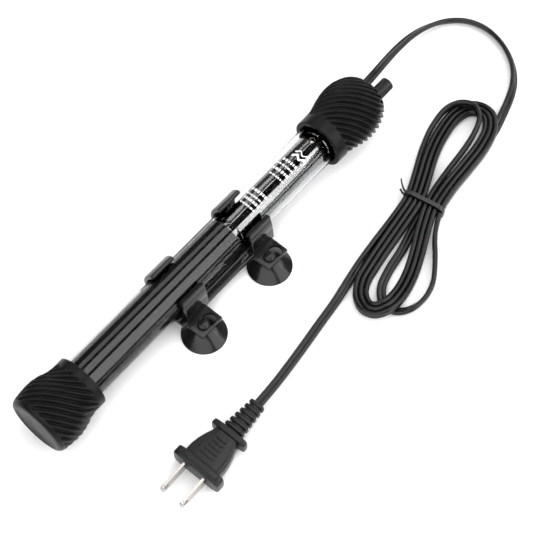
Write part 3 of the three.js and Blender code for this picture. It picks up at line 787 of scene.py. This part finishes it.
def make_knob():
    """Fluted grip with a rounded rim, on its shaft."""
    radius, shaft, foot, tip = (KNOB[key] for key in ("radius", "shaft", "foot", "tip"))
    stem = [(0, KNOB["shaft_start"]), (shaft, KNOB["shaft_start"]), (shaft, foot)]
    grip = filleted([(shaft, foot), (radius, foot), (radius, tip), (2.8, tip)], KNOB["corner"], 6)[1:]
    profile = np.vstack([stem, grip, [(KNOB["dish"], KNOB["dish_at"]), (0, KNOB["dish_at"])]])

    def flutes(radius, station, angles):
        sunk = np.clip((0.5 - 0.5 * np.cos(KNOB["flutes"] * angles)) * 1.6 - 0.5, 0, 1)
        on_grip = (radius > 3.2) * (station < KNOB["flute_end"])
        return radius - sunk * KNOB["flute_depth"] * on_grip

    rings = turned(profile, 160, flutes) + np.array([0, KNOB["y"], 0])
    return piece("knob_grip", skin(rings), "temperature_knob", LOOKS["knob"], sharp=50)


# ---------------------------------------------------------------- tube, sleeve and can
CAN = {"radius": 8.7, "wall": 0.4, "bottom": 143.0, "top": 227.3, "lamp_at": 212.8, "lamp_hole": 1.7}
BEAD = {"from_bottom": 3.2, "from_top": 10.6, "half_width": 0.7, "depth": 0.28}  # rolled grooves in the can
SLEEVE = {"radius": 10.76, "wall": 0.6, "bottom": 9.5, "top": 142.5}  # sits tight in the glass
# Where the dark strip of painted reflection lies on the can: its lift, thickness, angles and margins.
REFLECTION_STRIP = {"lift": 0.05, "thickness": 0.25, "from": 95.5, "to": 117, "margin": 0.8}
LAMP = {"radius": 1.3, "foot": 2.4, "shoulder": 6.3, "tip": 7.6}


def make_glass():
    """Tube with a closed bottom and a rounded rim."""
    radius, wall, bottom, top = (TUBE[key] for key in ("radius", "wall", "bottom", "top"))
    middle, inside = radius - wall / 2, radius - wall
    outer = filleted([(0, bottom), (radius, bottom), (radius, top), (middle, top)], TUBE["corner"], 10)
    inner_corners = [(middle, top), (inside, top), (inside, bottom + wall), (0, bottom + wall)]
    inner = filleted(inner_corners, TUBE["corner"] - wall, 10)
    mesh = skin(turned(np.vstack([outer, inner[1:]]), 144))
    return piece("glass_body", mesh, "glass_tube", LOOKS["glass"], sharp=50)


def make_sleeve():
    """Open black tube round the heating element."""
    radius, wall, bottom, top = (SLEEVE[key] for key in ("radius", "wall", "bottom", "top"))
    corners = [(radius - wall, bottom), (radius, bottom), (radius, top), (radius - wall, top)]
    profile = filleted(corners, 0.18, 4, closed=True)
    mesh = skin(turned(profile, 120), closed=True)
    return piece("black_sleeve", mesh, "inner_sleeve", LOOKS["sleeve"], sharp=50)


def lamp_window():
    """The round hole over the lamp, as a tool to cut with."""
    at = (CAN["lamp_at"] + AXIS[0], AXIS[1])
    return skin(upright([(CAN["lamp_hole"], AXIS[2] + 4), (CAN["lamp_hole"], AXIS[2] + 12)], at, 32))


def make_can():
    """Open metal sleeve with two rolled grooves and the lamp's window."""
    radius, wall, bottom, top = (CAN[key] for key in ("radius", "wall", "bottom", "top"))
    half, depth = BEAD["half_width"], BEAD["depth"]
    beads = []
    for at in (bottom + BEAD["from_bottom"], top - BEAD["from_top"]):
        beads += [(radius, at - half), (radius - depth, at), (radius, at + half)]
    outer = [(radius - 0.2, bottom), (radius, bottom + 0.2), *beads, (radius, top - 0.2), (radius - 0.2, top)]
    profile = np.vstack([outer, [(radius - wall, top), (radius - wall, bottom)]])
    mesh = combined(skin(turned(profile, 120), closed=True), [lamp_window()], "DIFFERENCE")
    return piece("thermostat_shell", mesh, "thermostat_can", LOOKS["chrome"])


def make_painted_reflection_strip():
    """Dark strip along the can: a painted reflection of a dark thing mirrored in the metal. The lamp's window
    cuts into its edge.
    """
    inner = CAN["radius"] + REFLECTION_STRIP["lift"]
    outside = arc(inner + REFLECTION_STRIP["thickness"], REFLECTION_STRIP["from"], REFLECTION_STRIP["to"], 16)
    inside = arc(inner, REFLECTION_STRIP["to"], REFLECTION_STRIP["from"], 16)
    strip = prism(np.vstack([outside, inside]) + AXIS[1:], CAN["bottom"] + REFLECTION_STRIP["margin"] + AXIS[0],
                  CAN["top"] - REFLECTION_STRIP["margin"] + AXIS[0])
    return piece("painted_reflection_strip", combined(strip, [lamp_window()], "DIFFERENCE"), "can_tape", LOOKS["tape"])


def make_lamp():
    """Small upright bulb with a round end."""
    at = (CAN["lamp_at"] + AXIS[0], AXIS[1])
    radius, foot = LAMP["radius"], LAMP["foot"]
    end = [(radius * math.cos(a), LAMP["shoulder"] + radius * math.sin(a)) for a in np.linspace(0, 1.5, 8)]
    profile = [(0, foot), (radius, foot), *end, (0, LAMP["tip"])]
    rings = upright([(r, h + AXIS[2]) for r, h in profile], at, 32)
    return piece("lamp_bulb", skin(rings), "indicator_lamp", LOOKS["lamp"])


# ---------------------------------------------------------------- plain marks printed on the glass
INK_LOW, INK_HIGH = TUBE["radius"] + 0.005, TUBE["radius"] + 0.035
MARK_ROWS = [192.5, 189.3, 185.2, 181.4, 168.0, 164.6, 161.4, 158.2]
MARK_HEIGHTS = (1.5, 1.0)
WAVE = {"station": 198.5, "swing": 0.8, "turns": 16, "from": 126, "to": 84}
WAVE_LINES = ((0.0, 1.5), (3.0, 0.8))  # how far each wavy line is moved along the tube, and its thickness


def patch(s0, s1, a0, a1):
    """A thin curved patch on the glass, between two stations and two angles in degrees."""
    low, high = INK_LOW, INK_HIGH
    angles = np.radians(np.linspace(a0, a1, max(2, int(abs(a1 - a0) / 3) + 2)))
    rows = [[(s, r * math.cos(a), r * math.sin(a)) for s, r in ((s0, low), (s1, low), (s1, high), (s0, high))]
            for a in angles]
    return np.array(rows) + AXIS


def dash_rows():
    """Rows of plain dashes round the tube, with seeded lengths and gaps."""
    draw = np.random.default_rng(4)
    dashes = []
    for row, station in enumerate(MARK_ROWS):
        angle = 122.0 - draw.uniform(0, 4)
        height = MARK_HEIGHTS[row % 2]
        while angle > 72:
            span = draw.uniform(3, 8)
            dashes.append(patch(station, station + height, angle - span, angle))
            angle -= span + draw.uniform(2.0, 3.4)
    return dashes


def wavy_line(offset, thickness):
    """One wavy line round the tube."""
    angles = np.linspace(WAVE["from"], WAVE["to"], 60)
    middle = WAVE["station"] + offset + WAVE["swing"] * np.sin(np.radians(angles * WAVE["turns"]))
    edges = ((-1, INK_LOW), (1, INK_LOW), (1, INK_HIGH), (-1, INK_HIGH))
    rows = [[(s + e * thickness / 2, r * math.cos(a), r * math.sin(a)) for e, r in edges]
            for a, s in zip(np.radians(angles), middle)]
    return np.array(rows) + AXIS


def make_marks():
    """Two wavy lines and rows of plain dashes: no letters."""
    parts = [*dash_rows(), *(wavy_line(*line) for line in WAVE_LINES)]
    mesh = bpy.data.meshes.new("marks")
    bm = bmesh.new()
    for rings in parts:
        bm.from_mesh(skin(rings))
    bm.to_mesh(mesh)
    bm.free()
    body = frame["nodes"]["glass_tube"]["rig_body"]
    return piece("printed_marks", mesh, "glass_tube", LOOKS["print"], body=body)


# ---------------------------------------------------------------- bracket and suction cups
BRACKET = {"start": 91.5, "end": 162.5, "inner": 12.3, "rail": 14.6, "clip": 14.9}
CLIP = {"length": 16.0, "starts": (94.8, 146.8), "left_tip": 57.0, "right_end": 150.0}
TAB = {"top": -8.9, "thickness": 2.0, "root": -15.4, "edge": -26.9, "before": 5.7, "after": 9.9}
CUP = {"y": -22.3, "stations": (98.6, 151.0), "neck": 2.0, "head": 3.2, "play": 0.3}
# The inner edge of a clip's upright side.
CLIP_SIDE = [(-9.1, TAB["top"] - TAB["thickness"]), (-6, -6), (-6, 4.36), (-9.95, 7.23)]
# A cup's outline in parts: out along the hollow, round the rim and back up the cone to the button.
CUP_HOLLOW = [(0.01, 4.7), (4.2, 4.4), (8.6, 2.2), (11.4, 0.05)]
CUP_RIM = [(11.4, 0), (12.2, 0), (12.4, 0.55), (11.9, 0.95)]
CUP_CONE = [(11.9, 0.95), (9.2, 3.2), (6.6, 5.2), (4.6, 6.4), (3.6, 6.9)]
CUP_BUTTON = [(0, 0.5), (0.15, 1.0), (0.7, 1.6), (1.6, 1.95)]  # in from the edge of the head, and up
KEYHOLE = {"offset": 4.6, "entry": 3.75, "slot": 2.4}


def band(inner, outer, start, end, corner=1.05):
    """Section of a wall about the tube, from one angle to another in degrees, with rounded corners."""
    ahead = math.copysign(1.0, end - start)
    turn = np.radians(np.linspace(0, 90, 7))
    sweep = np.radians(np.arange(start, end, ahead * 2.5)[3:-3])

    def corner_at(radius, angle, out, side):
        radii = radius - out * corner * (1 - np.cos(turn))
        angles = math.radians(angle) - side * corner * (1 - np.sin(turn)) / radius
        return np.column_stack([radii, angles])

    outline = np.vstack([
        np.column_stack([np.full(len(sweep), outer), sweep]),
        corner_at(outer, end, 1, ahead),
        corner_at(inner, end, -1, ahead)[::-1],
        np.column_stack([np.full(len(sweep), inner), sweep[::-1]]),
        corner_at(inner, start, -1, -ahead),
        corner_at(outer, start, 1, -ahead)[::-1],
    ])
    return np.column_stack([outline[:, 0] * np.cos(outline[:, 1]), outline[:, 0] * np.sin(outline[:, 1])])


def keyhole(station):
    """Outline of a tab's keyhole: a round entry that runs into a narrower slot."""
    entry = arc(KEYHOLE["entry"], -140, 140, 33) + [station + KEYHOLE["offset"], CUP["y"]]
    slot = arc(KEYHOLE["slot"], 90, 270, 17) + [station, CUP["y"]]
    return np.vstack([entry, slot]) + AXIS[:2]


def tab_plate(station):
    """A flat tab with rounded corners and its keyhole."""
    start, end = station - TAB["before"], station + TAB["after"]
    root = TAB["root"] + 1.5  # runs into the shelf
    corners = [(start, root), (start, TAB["edge"]), (end, TAB["edge"]), (end, root)]
    outline = filleted(corners, 0.9, 8, closed=True) + AXIS[:2]
    top = TAB["top"] + AXIS[2]
    plate = prism(outline, top - TAB["thickness"], top, 0.35, axis="Z")
    hole = prism(keyhole(station), top - 4, top + 2, axis="Z")
    return combined(plate, [hole], "DIFFERENCE")


def along_rail(corners, radius, start, end, edge):
    """A bar along the rail with rounded corners, from its (y, z) section."""
    outline = filleted(corners, radius, 5, closed=True) + AXIS[1:]
    return prism(outline, start + AXIS[0], end + AXIS[0], edge)


def make_bracket():
    """Rail, shelf and the clips' upright sides with their bore cut out, then the clip arms and the tabs."""
    start, end, inner = BRACKET["start"], BRACKET["end"], BRACKET["inner"]
    rail_section = band(inner + 0.4, BRACKET["rail"], -20, -146, 0.9) + AXIS[1:]
    rail = prism(rail_section, start + AXIS[0], end + AXIS[0], 0.45)
    top, foot = TAB["top"] + 0.4, TAB["top"] - TAB["thickness"]
    shelf = [(TAB["root"], top), (TAB["root"], foot - 0.1), (-9, foot - 0.1), (-9, top)]
    outside = TAB["root"] - 0.1
    side = [(-13.3, 8.6), (-15.2, -4), (outside, TAB["top"]), (outside, foot), *CLIP_SIDE]
    solids = [along_rail(shelf, 0.7, start + 0.1, end - 0.1, 0.3)]
    for clip_start in CLIP["starts"]:
        solids.append(along_rail(side, 0.7, clip_start - 0.1, clip_start + CLIP["length"] + 0.1, 0.4))
    bore = skin(turned([(inner + 0.3, 80), (inner + 0.3, 175)], 144))
    spine = combined(combined(rail, solids, "UNION"), [bore], "DIFFERENCE")
    others = [tab_plate(station) for station in CUP["stations"]]
    section = band(inner, BRACKET["clip"], CLIP["left_tip"], CLIP["right_end"] - 360) + AXIS[1:]
    for clip_start in CLIP["starts"]:
        others.append(prism(section, clip_start + AXIS[0], clip_start + CLIP["length"] + AXIS[0], 0.55))
    mesh = combined(spine, others, "UNION")
    return piece("clip_bracket", mesh, "bracket", LOOKS["plastic"], sharp=30)


def make_cup(name, station, node):
    """Mushroom button, neck and hollow cone with a thin rim."""
    under = TAB["top"] - TAB["thickness"] - CUP["play"] + AXIS[2]
    over = TAB["top"] + CUP["play"] + AXIS[2]
    head, neck = CUP["head"], CUP["neck"]
    hollow = through(CUP_HOLLOW, 0.4)
    rim = filleted(CUP_RIM, 0.25, 4)
    cone = through(CUP_CONE, 0.4)
    shoulder = filleted([cone[-1], (3.2, under), (neck, under), (neck, over), (head, over)], 0.35, 4)[1:]
    button = [(head - inwards, over + up) for inwards, up in CUP_BUTTON]
    profile = np.vstack([hollow, rim, cone[1:], shoulder, button, [(0, over + 2.1)]])
    profile[0, 0] = 0  # closes the middle of the hollow
    at = (station + AXIS[0], CUP["y"] + AXIS[1])
    return piece(name, skin(upright(profile, at)), node, LOOKS["cup_rubber"], sharp=40)


make_bottom_guard()
make_top_guard()
make_gland()
make_knob()
make_glass()
make_sleeve()
make_can()
make_painted_reflection_strip()
make_lamp()
make_marks()
make_bracket()
make_cup("cup_one", CUP["stations"][0], "suction_cup_lower")
make_cup("cup_two", CUP["stations"][1], "suction_cup_upper")

# ---------------------------------------------------------------- CAD nodes that stay
BLADE_EDGE = 0.18
NODE_LOOKS = {
    "bottom_cushion": "silicone", "seal_stopper": "silicone", "spindle_seal": "silicone",
    "thermostat_frame": "steel", "insulator_block": "ceramic", "bimetal_strip": "brass",
    "leaf_post": "ceramic", "contact_leaf": "copper", "lower_contact": "nickel",
    "upper_contact": "nickel", "snap_magnet": "ceramic",
    "set_lever": "steel", "adjusting_screw": "brass", "lamp_resistor": "mica", "ceramic_core": "ceramic",
    "heating_coil": "steel", "core_rod": "steel", "lower_spacer": "mica", "upper_spacer": "mica",
    "thermal_fuse": "nickel", "heat_shield": "steel", "element_lead": "wire", "live_lead": "wire",
    "neutral_lead": "wire", "plug_blade_left": "nickel", "plug_blade_right": "nickel",
}


def dress(node, look):
    """Gives a CAD node its material, and softens the edges of the plug's blades."""
    kept = frame["nodes"][node]
    kept.data.materials.clear()
    kept.data.materials.append(LOOKS[look])
    if node.startswith("plug_blade"):
        weld = kept.modifiers.new("weld", "WELD")
        weld.merge_threshold = 1e-6
        bevel = kept.modifiers.new("soft_edges", "BEVEL")
        bevel.width = BLADE_EDGE * MM
        bevel.segments = 2
        bevel.limit_method = "ANGLE"


for node_name, look_name in NODE_LOOKS.items():
    dress(node_name, look_name)


# ---------------------------------------------------------------- floor and lights
FLOOR = {"half": 4.0, "drop": 0.0002}
# Each panel's range of x, its two (y, z) edges and its radiance. The gaps show as dark bands along the tube.
PANELS = {
    "panel_back": ((-0.1, 1.3), (0.76, 1.2), (1.75, 1.2), 1.8),
    "panel_top": ((-0.15, 1.05), (-0.33, 1.2), (0.37, 1.2), 3.1),
    "panel_front": ((-0.1, 1.3), (-1.9, 0.35), (-0.69, 1.2), 3.8),
    "panel_left": ((-2.3, -0.5), (-2.0, 1.3), (1.0, 1.3), 3.2),
    "panel_right": ((1.5, 3.2), (-2.0, 1.3), (1.0, 1.3), 3.6),
}
FILL = 0.12


def make_floor():
    """A plain pale floor, just under the object."""
    mesh = bpy.data.meshes.new("floor")
    half = FLOOR["half"]
    corners = [(-half, -half, 0), (half, -half, 0), (half, half, 0), (-half, half, 0)]
    mesh.from_pydata(corners, [], [(0, 1, 2, 3)])
    mesh.materials.append(mottled("paper_floor", grey(0.92), grey(0.94), (0.7, 0.8), cell=1.5, relief=0.002))
    floor = bpy.data.objects.new("floor", mesh)
    floor.location.z = -FLOOR["drop"]
    bpy.context.scene.collection.objects.link(floor)


def softbox(name, x, low, high, radiance):
    """A long light panel between two (y, z) edges, over a range of x, as bright as its radiance."""
    low, high = np.array(low), np.array(high)
    middle = (low + high) / 2
    data = bpy.data.lights.new(name, "AREA")
    data.shape = "RECTANGLE"
    data.size, data.size_y = x[1] - x[0], float(np.linalg.norm(high - low))
    data.energy = radiance * math.pi * data.size * data.size_y
    light = bpy.data.objects.new(name, data)
    bpy.context.scene.collection.objects.link(light)
    light.location = ((x[0] + x[1]) / 2, *middle)
    light.rotation_euler = (math.atan2(high[1] - low[1], high[0] - low[0]), 0, 0)


def make_lights():
    """Three panels over the object with gaps between them, one at each end, and a weak even fill."""
    for name, panel in PANELS.items():
        softbox(name, *panel)
    world = bpy.data.worlds.new("studio")
    world.use_nodes = True
    background = world.node_tree.nodes["Background"]
    background.inputs["Color"].default_value = (1, 1, 1, 1)
    background.inputs["Strength"].default_value = FILL
    bpy.context.scene.world = world
    bpy.context.scene.view_settings.view_transform = "Standard"


make_floor()
make_lights()
